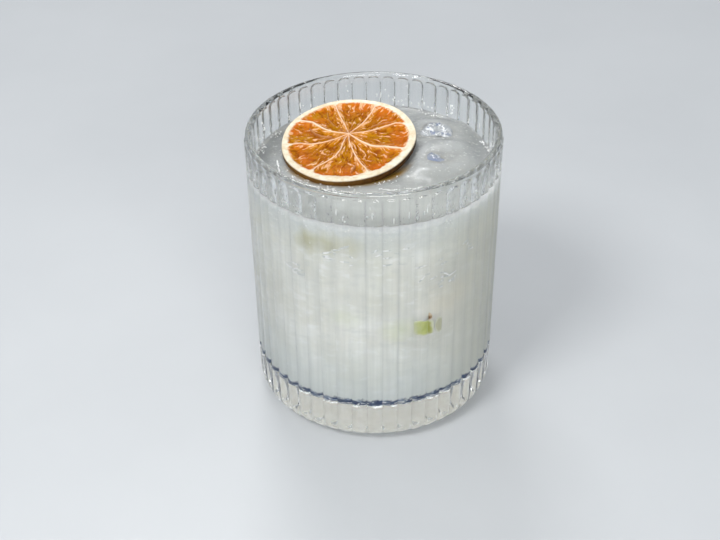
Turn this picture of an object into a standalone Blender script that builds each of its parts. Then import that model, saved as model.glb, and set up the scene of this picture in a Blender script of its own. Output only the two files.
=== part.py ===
"""A caipiroska in its glass, in metres, +Z up, with the origin under the middle of the foot.

The pieces are a thick reeded tumbler, the cloudy drink that fills it to a level near the rim,
two ice lumps that stand out of the drink, and a dried citrus wheel that leans on a third lump.
"""
import math

import bmesh
import bpy
from mathutils import Vector, noise

# The gap that is left between neighbouring solids.
GAP = 0.0003

# Tumbler: outside.
HEIGHT = 0.096
RIM_CREST_RADIUS = 0.0410
FOOT_CREST_RADIUS = 0.0398
HEEL_RADIUS = 0.0070
REED_COUNT = 50
REED_DEPTH = 0.00055
REED_TOP = 0.0941
REED_ARCH_DROP = 0.0013
LIP_OUTER_RADIUS = 0.04055
POINTS_PER_REED = 4

# Tumbler: inside and underneath.
RIM_INNER_RADIUS = 0.0385
WELL_RADIUS = 0.0371
WELL_CORNER_RADIUS = 0.0060
FLOOR_HEIGHT = 0.0125
PUNT_RADIUS = 0.0270
PUNT_DEPTH = 0.0010
PUNT_SLOPE = 0.0015

# Drink.
DRINK_LEVEL = 0.0830
MENISCUS_RISE = 0.0012
MENISCUS_WIDTH = 0.0022

# Dried citrus wheel: its top face lies on a plane that rises to the right and to the back.
WHEEL_RADIUS = 0.0224
WHEEL_STRETCH = 0.026
WHEEL_STRETCH_ANGLE = math.radians(78)
WHEEL_THICKNESS = 0.0030
WHEEL_CENTRE = Vector((-0.0081, 0.0088, 0.08624))
WHEEL_RISE_RIGHT = 0.060
WHEEL_RISE_BACK = 0.100
HUB_OFFSET = Vector((0.0001, 0.0029, 0.0))
MEMBRANE_ANGLES = [math.radians(a) for a in (11, 61, 104, 151, 194, 240, 285, 330)]
MEMBRANE_HALF_WIDTHS = [0.00035, 0.00030, 0.00030, 0.00050, 0.00035, 0.00030, 0.00035, 0.00060]
MEMBRANE_SINK = 0.0002
PITH_WIDTH_FRONT = 0.0024
PITH_WIDTH_BACK = 0.0011
PULP_SINK = 0.0008
PULP_WRINKLE = 0.0003
PULP_STEP = math.radians(5.0)

# Ice lumps: centre, half sizes, lean and turn in degrees, and the place in the noise that shapes each.
# The one under the wheel lies in the wheel's plane and carries it.
ICE_LUMPS = {
    "ice_back": (Vector((0.0212, 0.0183, 0.0739)), Vector((0.0093, 0.0078, 0.0112)), (-3, 4, -20), 3.1),
    "ice_front": (Vector((0.0222, 0.0011, 0.0736)), Vector((0.0092, 0.0078, 0.0112)), (-2, 3, 8), 7.7),
    "ice_under_wheel": (Vector((-0.0012, 0.0192, 0.0752)), Vector((0.0094, 0.0080, 0.0112)), (5.7, -3.4, 12), 5.2),
}
ICE_SQUARENESS = 3.4
ICE_UNEVENNESS = 0.0011
ICE_CUTS = 6


def clear_scene():
    for obj in list(bpy.data.objects):
        bpy.data.objects.remove(obj)


def material(name, colour, roughness, transmission=0.0, alpha=1.0):
    mat = bpy.data.materials.new(name)
    mat.use_nodes = True
    shader = mat.node_tree.nodes["Principled BSDF"]
    shader.inputs["Base Color"].default_value = (*colour, 1.0)
    shader.inputs["Roughness"].default_value = roughness
    shader.inputs["Metallic"].default_value = 0.0
    shader.inputs["Transmission Weight"].default_value = transmission
    shader.inputs["Alpha"].default_value = alpha
    mat.diffuse_color = (*colour, alpha)
    return mat


def add_object(name, bm, mat, sharp_angle=40):
    """Puts a mesh into the scene as an object, with its faces turned out and smooth."""
    bmesh.ops.recalc_face_normals(bm, faces=bm.faces)
    mesh = bpy.data.meshes.new(name)
    bm.to_mesh(mesh)
    bm.free()
    mesh.shade_smooth()
    mesh.set_sharp_from_angle(angle=math.radians(sharp_angle))
    mesh.materials.append(mat)
    obj = bpy.data.objects.new(name, mesh)
    bpy.context.collection.objects.link(obj)
    return obj


def loft(bm, rings):
    """Joins closed rings of points one after another. A ring may have half the points of the last."""
    rows = [[bm.verts.new(point) for point in ring] for ring in rings]
    for low, high in zip(rows, rows[1:]):
        if len(low) == 2 * len(high):
            join_two_to_one(bm, low, high)
        elif len(high) == 2 * len(low):
            join_two_to_one(bm, high, low)
        else:
            for i in range(len(low)):
                j = (i + 1) % len(low)
                bm.faces.new((low[i], low[j], high[j], high[i]))
    return rows


def join_two_to_one(bm, fine, coarse):
    for i in range(len(coarse)):
        j = (i + 1) % len(coarse)
        start, middle, end = fine[2 * i], fine[2 * i + 1], fine[(2 * i + 2) % len(fine)]
        bm.faces.new((start, middle, coarse[i]))
        bm.faces.new((middle, end, coarse[j]))
        bm.faces.new((middle, coarse[j], coarse[i]))


def close_with_fan(bm, ring, centre):
    hub = bm.verts.new(centre)
    for i in range(len(ring)):
        bm.faces.new((ring[i], ring[(i + 1) % len(ring)], hub))


def circle(radius, height, count):
    """Points of a level circle, starting in the middle of the front."""
    turn = 2 * math.pi / count
    return [(radius * math.sin(i * turn), -radius * math.cos(i * turn), height) for i in range(count)]


def crest_radius(height):
    return FOOT_CREST_RADIUS + (RIM_CREST_RADIUS - FOOT_CREST_RADIUS) * height / HEIGHT


def well_wall_radius(height):
    """Radius of the inner wall, which widens a little towards the rim."""
    low = FLOOR_HEIGHT + WELL_CORNER_RADIUS
    share = (height - low) / (HEIGHT - low)
    return WELL_RADIUS + (RIM_INNER_RADIUS - WELL_RADIUS) * share


def reeded_ring(radius, height, depth, drop=0.0):
    """A ring of reeds, with a crest in the middle of the front.

    Each reed bulges out between two grooves, and the ring can drop towards them like an arch.
    """
    count = REED_COUNT * POINTS_PER_REED
    half = POINTS_PER_REED // 2
    ring = []
    for i in range(count):
        across = ((i + half) % POINTS_PER_REED) / half - 1
        local_radius = radius - depth * abs(across) ** 2.2
        angle = 2 * math.pi * i / count
        x = local_radius * math.sin(angle)
        y = -local_radius * math.cos(angle)
        ring.append((x, y, height - drop * abs(across) ** 3))
    return ring


def build_tumbler(mat):
    fine = REED_COUNT * POINTS_PER_REED
    coarse = fine // 2
    foot_centre = FOOT_CREST_RADIUS - HEEL_RADIUS

    rings = [
        circle(PUNT_RADIUS, PUNT_DEPTH, coarse),
        circle(PUNT_RADIUS + PUNT_SLOPE, 0.0, coarse),
        circle(foot_centre - 0.0002, 0.0, fine),
    ]
    for share in (0.25, 0.5, 0.75, 1.0):
        angle = share * math.pi / 2
        radius = foot_centre + HEEL_RADIUS * math.sin(angle)
        height = HEEL_RADIUS * (1 - math.cos(angle))
        rings.append(reeded_ring(radius, height, REED_DEPTH * min(1.0, 1.4 * share)))
    straight_top = REED_TOP - 0.0012
    rings.append(reeded_ring(crest_radius(straight_top), straight_top, REED_DEPTH, REED_ARCH_DROP))
    rings.append(reeded_ring(crest_radius(REED_TOP) - 0.00015, REED_TOP - 0.0003, 0.0003, REED_ARCH_DROP))
    rings.append(reeded_ring(LIP_OUTER_RADIUS, REED_TOP + 0.0001, 0.0, 0.6 * REED_ARCH_DROP))

    lip_half = (LIP_OUTER_RADIUS - RIM_INNER_RADIUS) / 2
    lip_middle = RIM_INNER_RADIUS + lip_half
    for degrees, count in ((0, fine), (50, fine), (90, fine), (130, fine), (180, coarse)):
        angle = math.radians(degrees)
        radius = lip_middle + lip_half * math.cos(angle)
        height = HEIGHT - lip_half + lip_half * math.sin(angle)
        rings.append(circle(radius, height, count))

    corner_centre = WELL_RADIUS - WELL_CORNER_RADIUS
    for degrees in (0, 30, 60, 90):
        angle = math.radians(degrees)
        radius = corner_centre + WELL_CORNER_RADIUS * math.cos(angle)
        height = FLOOR_HEIGHT + WELL_CORNER_RADIUS * (1 - math.sin(angle))
        rings.append(circle(radius, height, coarse))

    bm = bmesh.new()
    rows = loft(bm, rings)
    close_with_fan(bm, rows[0], (0, 0, PUNT_DEPTH))
    close_with_fan(bm, rows[-1], (0, 0, FLOOR_HEIGHT))
    return add_object("glass_tumbler", bm, mat, sharp_angle=55)


def wheel_outline(angle):
    """Distance from the wheel's middle to its rim."""
    stretch = WHEEL_STRETCH * math.cos(2 * (angle - WHEEL_STRETCH_ANGLE))
    waver = 0.006 * math.sin(3 * angle + 0.7) + 0.004 * math.sin(7 * angle + 2.0)
    return WHEEL_RADIUS * (1 + stretch + waver)


def reach_from_hub(angle):
    """Distance from the hub, which is off the middle, to the rim."""
    low, high = 0.0, 2 * WHEEL_RADIUS
    direction = Vector((math.cos(angle), math.sin(angle), 0))
    for _ in range(30):
        middle = (low + high) / 2
        point = HUB_OFFSET + direction * middle
        if point.length < wheel_outline(math.atan2(point.y, point.x)):
            low = middle
        else:
            high = middle
    return low


def wheel_spokes():
    """The lines from hub to rim: three on each membrane and a fan of them over each pulp segment.

    Each spoke is its angle, its sideways shift, and how far it lies between two membranes,
    from 0 on a membrane's crest to 1 in the middle of a segment.
    """
    spokes = []
    for k, angle in enumerate(MEMBRANE_ANGLES):
        width = MEMBRANE_HALF_WIDTHS[k]
        following = MEMBRANE_ANGLES[(k + 1) % len(MEMBRANE_ANGLES)]
        span = (following - angle) % (2 * math.pi)
        spokes += [(angle, 0.0, 0.0), (angle, 2 * width, 1.0)]
        steps = max(2, round(span / PULP_STEP))
        for i in range(1, steps):
            spokes.append((angle + span * i / steps, 0.0, 1.0))
        following_width = MEMBRANE_HALF_WIDTHS[(k + 1) % len(MEMBRANE_ANGLES)]
        spokes.append((following, -2 * following_width, 1.0))
    return spokes


def pith_width(angle):
    """The pith ring is widest at the front of the wheel."""
    front_share = (1 - math.sin(angle)) / 2
    return PITH_WIDTH_BACK + (PITH_WIDTH_FRONT - PITH_WIDTH_BACK) * front_share


def spoke_point(spoke, distance, height):
    angle, shift, _ = spoke
    along = Vector((math.cos(angle), math.sin(angle), 0))
    across = Vector((-math.sin(angle), math.cos(angle), 0))
    shift *= min(1.0, distance / 0.006)
    return HUB_OFFSET + along * distance + across * shift + Vector((0, 0, height))


def pulp_height(spoke, distance, share):
    """Top of the flesh: it sinks between the membranes and is wrinkled."""
    top = WHEEL_THICKNESS / 2
    if spoke[2] == 0.0:
        return top - MEMBRANE_SINK - 0.0002 * math.sin(math.pi * share)
    point = spoke_point(spoke, distance, 0.0)
    wrinkle = noise.noise(point * 420.0 + Vector((5.0, 1.0, 2.0)))
    return top - PULP_SINK * (0.75 + 0.25 * math.sin(math.pi * share)) + PULP_WRINKLE * wrinkle


def build_wheel(mat):
    spokes = wheel_spokes()
    top = WHEEL_THICKNESS / 2
    rims = [reach_from_hub(spoke[0]) for spoke in spokes]
    piths = [pith_width(spoke[0]) for spoke in spokes]

    def ring(inset, height, pith_share=0.0):
        """A ring at a distance in from the rim, with a share of the pith's width added."""
        points = []
        for spoke, rim, pith in zip(spokes, rims, piths):
            points.append(spoke_point(spoke, rim - inset - pith_share * pith, height))
        return points

    def pulp_ring(share):
        points = []
        for spoke, rim, pith in zip(spokes, rims, piths):
            distance = (rim - pith - 0.0005) * share
            points.append(spoke_point(spoke, distance, pulp_height(spoke, distance, share)))
        return points

    rings = [
        ring(0.0005, -top + 0.0006, 1.0),
        ring(0.0, -top, 1.0),
        ring(0.0005, -top),
        ring(0.0001, -0.5 * top),
        ring(0.0, 0.3 * top),
        ring(0.00025, 0.85 * top),
        ring(0.0007, top),
        ring(0.0, top - 0.0001, 0.95),
    ]
    rings += [pulp_ring(share) for share in (1.0, 0.82, 0.64, 0.46, 0.28, 0.12)]

    bm = bmesh.new()
    rows = loft(bm, rings)
    close_with_fan(bm, rows[0], HUB_OFFSET + Vector((0, 0, -top + 0.0006)))
    close_with_fan(bm, rows[-1], HUB_OFFSET + Vector((0, 0, top - 0.0004)))
    wheel = add_object("dried_citrus_wheel", bm, mat)
    place_on_wheel_plane(wheel)
    return wheel


def place_on_wheel_plane(obj):
    normal = Vector((-WHEEL_RISE_RIGHT, -WHEEL_RISE_BACK, 1.0)).normalized()
    obj.location = WHEEL_CENTRE
    obj.rotation_mode = "QUATERNION"
    obj.rotation_quaternion = Vector((0, 0, 1)).rotation_difference(normal)


def wheel_cutter(mat):
    """A plain disc a gap larger than the wheel all round, which hollows the drink under it."""
    half = WHEEL_THICKNESS / 2 + GAP
    count = 72
    rings = []
    for height, inset in ((-half, 0.0004), (-0.5 * half, 0.0), (half, 0.0)):
        ring = []
        for i in range(count):
            angle = 2 * math.pi * i / count
            radius = wheel_outline(angle) + GAP - inset
            ring.append((radius * math.cos(angle), radius * math.sin(angle), height))
        rings.append(ring)
    bm = bmesh.new()
    rows = loft(bm, rings)
    close_with_fan(bm, rows[0], (0, 0, -half))
    close_with_fan(bm, rows[-1], (0, 0, half))
    cutter = add_object("cutter_wheel", bm, mat)
    place_on_wheel_plane(cutter)
    return cutter


def ice_mesh(half_sizes, seed, grow):
    """A melted cube: a gridded cube pulled towards a ball, made uneven, and grown by a margin."""
    bm = bmesh.new()
    bmesh.ops.create_cube(bm, size=2.0)
    bmesh.ops.subdivide_edges(bm, edges=bm.edges, cuts=ICE_CUTS, use_grid_fill=True)
    for vert in bm.verts:
        point = vert.co
        power = sum(abs(value) ** ICE_SQUARENESS for value in point)
        unit = point / power ** (1 / ICE_SQUARENESS)
        shaped = Vector([unit[k] * half_sizes[k] for k in range(3)])
        bump = noise.noise(shaped * 110.0 + Vector((seed, 2 * seed, 3 * seed)))
        vert.co = shaped + shaped.normalized() * (ICE_UNEVENNESS * bump)
    bmesh.ops.recalc_face_normals(bm, faces=bm.faces)
    bm.normal_update()
    for vert in bm.verts:
        vert.co = vert.co + vert.normal * grow
    return bm


def build_ice(name, mat, grow=0.0):
    centre, half_sizes, turns, seed = ICE_LUMPS[name]
    label = "cutter_" + name if grow else name
    lump = add_object(label, ice_mesh(half_sizes, seed, grow), mat)
    lump.location = centre
    lump.rotation_euler = [math.radians(turn) for turn in turns]
    return lump


def build_drink(mat, cutters):
    """The drink fills the well to its level, climbs a little at the wall, and is cut round what floats."""
    count = REED_COUNT * POINTS_PER_REED // 2
    floor = FLOOR_HEIGHT + GAP
    corner_centre = WELL_RADIUS - WELL_CORNER_RADIUS
    corner = WELL_CORNER_RADIUS - GAP
    rings = []
    for degrees in (90, 60, 30, 0):
        angle = math.radians(degrees)
        radius = corner_centre + corner * math.cos(angle)
        rings.append(circle(radius, floor + corner * (1 - math.sin(angle)), count))
    edge_height = DRINK_LEVEL + MENISCUS_RISE
    edge_radius = well_wall_radius(edge_height) - GAP
    rings.append(circle(edge_radius, edge_height, count))
    for share, rise in ((0.25, 0.45), (0.6, 0.12), (1.0, 0.0)):
        radius = edge_radius - MENISCUS_WIDTH * share
        rings.append(circle(radius, DRINK_LEVEL + MENISCUS_RISE * rise, count))
    bm = bmesh.new()
    rows = loft(bm, rings)
    close_with_fan(bm, rows[0], (0, 0, floor))
    close_with_fan(bm, rows[-1], (0, 0, DRINK_LEVEL))
    drink = add_object("drink", bm, mat)
    for cutter in cutters:
        cutter.hide_render = True
        cutter.display_type = "WIRE"
        cut = drink.modifiers.new("cut for " + cutter.name, "BOOLEAN")
        cut.operation = "DIFFERENCE"
        cut.solver = "EXACT"
        cut.object = cutter
    return drink


def main():
    clear_scene()
    glass = material("clear_glass", (0.95, 0.97, 0.97), 0.02, transmission=1.0, alpha=0.35)
    ice = material("ice", (0.82, 0.87, 0.90), 0.08, transmission=0.9, alpha=0.6)
    cloudy = material("cloudy_drink", (0.62, 0.66, 0.62), 0.25)
    citrus = material("dried_citrus", (0.70, 0.30, 0.08), 0.45)

    build_tumbler(glass)
    build_wheel(citrus)
    cutters = [wheel_cutter(cloudy)]
    for name in ICE_LUMPS:
        build_ice(name, ice)
        cutters.append(build_ice(name, cloudy, grow=GAP))
    build_drink(cloudy, cutters)


main()
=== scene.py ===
"""Looks of a caipiroska in a reeded tumbler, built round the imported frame, in metres, +Z up."""

import math

import bmesh
import bpy
import numpy as np
from mathutils import Matrix, Vector, noise


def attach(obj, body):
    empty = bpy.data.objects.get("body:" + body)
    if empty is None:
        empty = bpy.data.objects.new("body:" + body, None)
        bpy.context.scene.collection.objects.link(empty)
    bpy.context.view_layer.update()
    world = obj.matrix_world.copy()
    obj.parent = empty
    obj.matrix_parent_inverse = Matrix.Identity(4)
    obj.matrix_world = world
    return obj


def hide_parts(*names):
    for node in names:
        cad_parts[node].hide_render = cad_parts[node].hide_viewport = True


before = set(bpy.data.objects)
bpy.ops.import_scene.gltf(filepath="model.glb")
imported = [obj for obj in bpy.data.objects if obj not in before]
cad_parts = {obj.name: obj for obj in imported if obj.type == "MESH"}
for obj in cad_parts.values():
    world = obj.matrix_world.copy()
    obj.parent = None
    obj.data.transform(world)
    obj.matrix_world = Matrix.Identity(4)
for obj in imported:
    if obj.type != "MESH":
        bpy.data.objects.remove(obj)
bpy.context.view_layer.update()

# Sizes of the solids, as the part's source has them.
HEIGHT = 0.096
RIM_CREST_RADIUS = 0.0410
FOOT_CREST_RADIUS = 0.0398
HEEL_RADIUS = 0.0070
HEEL_CENTRE = FOOT_CREST_RADIUS - HEEL_RADIUS
REED_COUNT = 50
REED_DEPTH = 0.00055
REED_TOP = 0.0941
REED_ARCH_DROP = 0.0013
# Where the arched tops begin, and how far under its arch a reed reaches its full depth.
ARCH_START = REED_TOP - REED_ARCH_DROP - 0.0012
REED_FADE = 0.0011
# How much deeper the narrow bottom of a groove is, as a share of the reed depth.
GROOVE_NOTCH = 0.30
# Heights between which the wet film on the wall over the drink ends.
FILM_END = (0.0915, 0.0945)
# Keeps the crests, which are rounder here, inside the solids' outer box.
CREST_INSET = 0.000016
LIP_OUTER_RADIUS = 0.04055
LIP_WAIST = LIP_OUTER_RADIUS - 0.00012
RIM_INNER_RADIUS = 0.0385
LIP_HALF = (LIP_OUTER_RADIUS - RIM_INNER_RADIUS) / 2
LIP_BASE = HEIGHT - LIP_HALF
FLOOR_HEIGHT = 0.0125
WELL_RADIUS = 0.0371
WELL_CORNER_RADIUS = 0.0060
WELL_CORNER_CENTRE = WELL_RADIUS - WELL_CORNER_RADIUS
WELL_CORNER_TOP = FLOOR_HEIGHT + WELL_CORNER_RADIUS
PUNT_RADIUS = 0.0270
PUNT_DEPTH = 0.0010
PUNT_SLOPE = 0.0015
DRINK_LEVEL = 0.0830
# The glass's underside, from its shallow punt out to the heel, as (radius, height).
UNDERSIDE = [
    (0.4 * PUNT_RADIUS, PUNT_DEPTH),
    (0.8 * PUNT_RADIUS, PUNT_DEPTH),
    (PUNT_RADIUS, PUNT_DEPTH),
    (PUNT_RADIUS + 0.35 * PUNT_SLOPE, 0.8 * PUNT_DEPTH),
    (PUNT_RADIUS + 0.65 * PUNT_SLOPE, 0.2 * PUNT_DEPTH),
    (PUNT_RADIUS + PUNT_SLOPE, 0.0),
    (HEEL_CENTRE - 0.0002, 0.0),
]
# How high the drink climbs the wall, and over what distance that climb falls to about a third.
MENISCUS_RISE = 0.0012
MENISCUS_FALL = 0.0005
# How far the drink reaches into the glass, so that no air shows between them.
WALL_REACH = 0.00025
DRINK_POINTS = 480
# Places of the drink's looks in its list of materials, after the body's.
SURFACE_LOOK, UNDERSIDE_LOOK, POCKET_LOOK = 1, 2, 3

WHEEL_RADIUS = 0.0224
WHEEL_STRETCH = 0.026
WHEEL_STRETCH_ANGLE = math.radians(78)
WHEEL_THICKNESS = 0.0030
WHEEL_TOP = WHEEL_THICKNESS / 2
WHEEL_UNDER_SUNK = 0.0006
WHEEL_SPOKES = 900
WHEEL_FLESH_ROWS = 74
WHEEL_CENTRE = Vector((-0.0081, 0.0088, 0.08624))
WHEEL_RISE_RIGHT = 0.060
WHEEL_RISE_BACK = 0.100
HUB_OFFSET = (0.0001, 0.0029)
# Each membrane's half width, and its course as (distance from the hub in mm, degrees).
MEMBRANES = [
    (0.00030, [(5, 8), (7, 10.5), (12, 16), (16, 17.5), (19, 12), (21, 11)]),
    (0.00028, [(5, 51), (10.5, 55.5), (17, 60), (21, 61)]),
    (0.00026, [(5, 104), (11, 105.5), (17, 105), (21, 104)]),
    (0.00042, [(4, 160), (6, 159), (11, 150), (14.5, 146), (18.5, 150), (21, 151)]),
    (0.00030, [(5, 209), (9, 204.5), (13, 200), (16, 193), (20, 192.5), (24, 193)]),
    (0.00028, [(3, 247), (8, 253), (12.5, 250), (16.5, 244), (20, 239.5), (24, 239)]),
    (0.00028, [(3.5, 272), (8, 278), (14, 281.5), (20, 285.5), (24, 286)]),
    (0.00050, [(5, 312), (10, 316), (14, 326), (19, 330), (24, 331)]),
]
THICK_MEMBRANE = 0.0004
# Short folds in the flesh, in the same way: half width, height against a membrane's, course.
FOLDS = [
    (0.00034, 0.7, [(5.5, 186), (8.5, 178.5), (11.5, 167), (14, 158)]),
    (0.00024, 0.8, [(15, 281), (18, 276), (20.5, 272)]),
    (0.00030, 0.5, [(9, 322), (12, 331), (16, 338)]),
    (0.00030, 0.5, [(9, 33), (13, 27), (17, 22)]),
    (0.00026, 0.5, [(8, 128), (12, 124), (16, 117)]),
]
PITH_WIDTH_FRONT = 0.0024
PITH_WIDTH_BACK = 0.0011
PITH_WIDER_RIGHT = 0.0003
FLESH_ROUNDING = 0.0007
# Painted light and shade: the rind is lit golden at the left and dark brown, as if in shade, to the right;
# the golden tone ends between these places in x.
LIT_RIND_LEFT = (-0.016, 0.006)

# Each lump's centre, half sizes, turns about x, y and z in degrees, and seed.
ICE_LUMPS = {
    "ice_back": (
        Vector((0.0212, 0.0183, 0.0739)), Vector((0.0093, 0.0078, 0.0112)), (-3, 4, -20), 3.1),
    "ice_front": (
        Vector((0.0222, 0.0011, 0.0736)), Vector((0.0092, 0.0078, 0.0112)), (-2, 3, 8), 7.7),
    "ice_under_wheel": (
        Vector((-0.0012, 0.0192, 0.0752)), Vector((0.0094, 0.0080, 0.0112)), (5.7, -3.4, 12), 5.2),
}
ICE_SQUARENESS = 3.4
ICE_UNEVENNESS = 0.0011
ICE_DIMPLES = 0.00028
ICE_CUTS = 34
POCKET_CUTS = 16
ICE_WALL_GAP = 0.0006
# The drink's pockets keep further from the wall, so that the ice doesn't show through a thin skin.
POCKET_WALL_GAP = 0.0018
# How far the drink reaches into the ice, so that no air shows between them either.
POCKET_OVERLAP = 0.00012
# How high the drink climbs the ice, and how far from it the climb begins.
ICE_WETTING = 0.0018
ICE_WETTING_REACH = 0.0042

# Heights between which the drink's painted shades fade: its corner line, the glints under it, its darker
# low band and its darker top band; and places in x for its painted shade on the duller right side.
SHADE_LINE_TOP = (0.0162, 0.0170)
GLINT_FLECKS_TOP = (0.0136, 0.0141)
LOW_SHADE_BAND = (0.018, 0.042)
TOP_SHADE_BAND = (0.0720, 0.0830)
RIGHT_SHADE_SIDE = (0.012, 0.032)
# Soft patches on the drink's side: (degrees from the front, height, half width, half height), each
# with its share and tone.
SIDE_PATCHES = [
    ((-31, 0.0760, 0.0046, 0.0048), 0.75, (0.52, 0.51, 0.33)),
    ((-21, 0.0768, 0.0044, 0.0042), 0.65, (0.55, 0.54, 0.37)),
    ((-11, 0.0765, 0.0048, 0.0036), 0.40, (0.62, 0.61, 0.44)),
    ((14, 0.0450, 0.0085, 0.0050), 0.45, (0.76, 0.80, 0.55)),
    ((-14, 0.0495, 0.0060, 0.0045), 0.30, (0.76, 0.80, 0.60)),
    # Painted light: this near-white patch lifts the shade round the sunk lime.
    ((25, 0.0470, 0.0080, 0.0080), 0.60, (0.97, 0.97, 0.92)),
    ((36, 0.0520, 0.0110, 0.0090), 0.40, (0.86, 0.80, 0.66)),
    ((142, 0.0600, 0.0080, 0.0060), 0.40, (0.74, 0.77, 0.52)),
    ((236, 0.0480, 0.0090, 0.0060), 0.40, (0.74, 0.75, 0.52)),
]
PATCH_WAVER = 0.005

# Bundles of sunk ice slivers, as (degrees from the front, height, reach).
CHIP_BUNDLES = [
    (29.0, 0.0655, 0.0050),
    (36.0, 0.0600, 0.0030),
    (8.0, 0.0735, 0.0050),
    (-16.0, 0.0730, 0.0050),
    (47.0, 0.0690, 0.0045),
    (150.0, 0.0560, 0.0050),
    (205.0, 0.0700, 0.0050),
    (262.0, 0.0480, 0.0050),
    (98.0, 0.0420, 0.0050),
    (322.0, 0.0640, 0.0035),
]
CHIPS_IN_BUNDLE = 9
# Degrees from the front to the brown spot on the lime's tip.
LIME_SPOT_TURN = 27.2

# Lines of fine froth on the drink's surface, as (x, y) in mm.
FROTH_LINES = [
    [(13.7, -4.2), (17.2, -6.4), (21.0, -6.9), (23.5, -6.2)],
    [(24.6, 10.6), (27.0, 13.6), (29.6, 15.6)],
    [(1.9, -15.6), (5.0, -16.6), (8.0, -16.3)],
    [(9.5, -15.4), (12.5, -15.9), (15.0, -14.6)],
    [(-31.0, 2.0), (-30.0, -5.0), (-27.0, -11.0)],
]
# Half the width of the short runs of liquid on the wall.
RUN_RADIUS = 0.00016

FLOOR_REACH = 3.0
FLOOR_TOP = -0.00005
FLOOR_UNDER = -0.01


# Meshes

def object_from(bm, name, mats, smooth=True):
    """Makes an object from a bmesh, which it frees."""
    mesh = bpy.data.meshes.new(name)
    bm.to_mesh(mesh)
    bm.free()
    if smooth:
        mesh.shade_smooth()
    for mat in mats:
        mesh.materials.append(mat)
    obj = bpy.data.objects.new(name, mesh)
    bpy.context.scene.collection.objects.link(obj)
    return obj


def mesh_object(name, verts, faces, mats, smooth=True):
    raw = bpy.data.meshes.new(name)
    raw.from_pydata([tuple(v) for v in verts], [], [tuple(f) for f in faces])
    raw.update()
    bm = bmesh.new()
    bm.from_mesh(raw)
    bpy.data.meshes.remove(raw)
    bmesh.ops.recalc_face_normals(bm, faces=bm.faces)
    return object_from(bm, name, mats, smooth)


def set_marks(obj, name, values):
    """Stores one number a vertex, which the materials read."""
    layer = obj.data.attributes.new(name, "FLOAT", "POINT")
    layer.data.foreach_set("value", np.asarray(values, np.float32))


def closed_loft(rings, low_centre, high_centre):
    """Points and faces of a skin over rings of equal count, closed at both ends with fans."""
    rows, count = len(rings), len(rings[0])
    verts = np.vstack([np.asarray(ring) for ring in rings] + [[low_centre], [high_centre]])
    index = np.arange(rows * count).reshape(rows, count)
    following = np.roll(index, -1, axis=1)
    quads = np.stack([index[:-1], following[:-1], following[1:], index[1:]], axis=-1).reshape(-1, 4)
    faces = quads.tolist()
    low, high = rows * count, rows * count + 1
    faces += [(following[0, i], index[0, i], low) for i in range(count)]
    faces += [(index[-1, i], following[-1, i], high) for i in range(count)]
    return verts, faces


def even_angles(count):
    return np.arange(count) * 2 * math.pi / count


def level_ring(angles, radius, height):
    radius = np.broadcast_to(radius, angles.shape)
    height = np.broadcast_to(height, angles.shape)
    return np.stack([radius * np.sin(angles), -radius * np.cos(angles), height], axis=1)


def level_rings(angles, profile):
    return [level_ring(angles, radius, height) for radius, height in profile]


def wall_radius(height):
    share = (height - WELL_CORNER_TOP) / (HEIGHT - WELL_CORNER_TOP)
    return WELL_RADIUS + (RIM_INNER_RADIUS - WELL_RADIUS) * share


def corner_place(turn, beyond=0.0):
    """Radius and height of a point of the well's rounded corner, or of one beyond it in the glass."""
    reach = WELL_CORNER_RADIUS + beyond
    return WELL_CORNER_CENTRE + reach * math.cos(turn), WELL_CORNER_TOP - reach * math.sin(turn)


def wall_point(degrees, height, inward):
    """A point at an angle from the front, a height, and a distance in from the drink's side."""
    angle = math.radians(degrees)
    radius = wall_radius(height) + WALL_REACH - inward
    return Vector((radius * math.sin(angle), -radius * math.cos(angle), height))


def ring_noise(scale, angle, level):
    return noise.noise((scale * math.cos(angle), scale * math.sin(angle), level))


def smoothstep(low, high, value):
    share = np.clip((value - low) / (high - low), 0.0, 1.0)
    return share * share * (3 - 2 * share)


# Materials

def new_material(name):
    mat = bpy.data.materials.new(name)
    mat.use_nodes = True
    return mat, mat.node_tree, mat.node_tree.nodes["Principled BSDF"]


def feed(tree, socket, given):
    """Links a socket to another one, or sets it to a number, a vector or an (r, g, b)."""
    if isinstance(given, bpy.types.NodeSocket):
        tree.links.new(given, socket)
    elif socket.type == "RGBA":
        socket.default_value = (*given, 1.0)
    else:
        socket.default_value = given


def feed_all(tree, node, given):
    for name, value in given.items():
        feed(tree, node.inputs[name], value)


def add_node(tree, kind, **settings):
    node = tree.nodes.new(kind)
    for key, value in settings.items():
        if key in node.inputs:
            node.inputs[key].default_value = value
        else:
            setattr(node, key, value)
    return node


def object_place(tree):
    return add_node(tree, "ShaderNodeTexCoord").outputs["Object"]


def axes(tree, place):
    """The x, y and z of a place, as three sockets."""
    split = add_node(tree, "ShaderNodeSeparateXYZ")
    tree.links.new(place, split.inputs["Vector"])
    return tuple(split.outputs)


def noise_node(tree, scale, stretch=(1, 1, 1), offset=(0, 0, 0), detail=3.0, roughness=0.55,
               distortion=0.0):
    """A noise texture in object coordinates, squeezed along each axis."""
    mapping = add_node(tree, "ShaderNodeMapping", Scale=stretch, Location=offset)
    tree.links.new(object_place(tree), mapping.inputs["Vector"])
    node = add_node(tree, "ShaderNodeTexNoise", Scale=scale, Detail=detail, Roughness=roughness,
                    Distortion=distortion)
    tree.links.new(mapping.outputs["Vector"], node.inputs["Vector"])
    return node


def grain(tree, scale, **settings):
    return noise_node(tree, scale, **settings).outputs["Fac"]


def ramp(tree, source, stops):
    """A colour ramp with (position, (r, g, b)) stops."""
    node = add_node(tree, "ShaderNodeValToRGB")
    elements = node.color_ramp.elements
    while len(elements) < len(stops):
        elements.new(0.5)
    for element, (position, colour) in zip(elements, stops):
        element.position = position
        element.color = (*colour, 1.0)
    tree.links.new(source, node.inputs["Fac"])
    return node.outputs["Color"]


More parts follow.
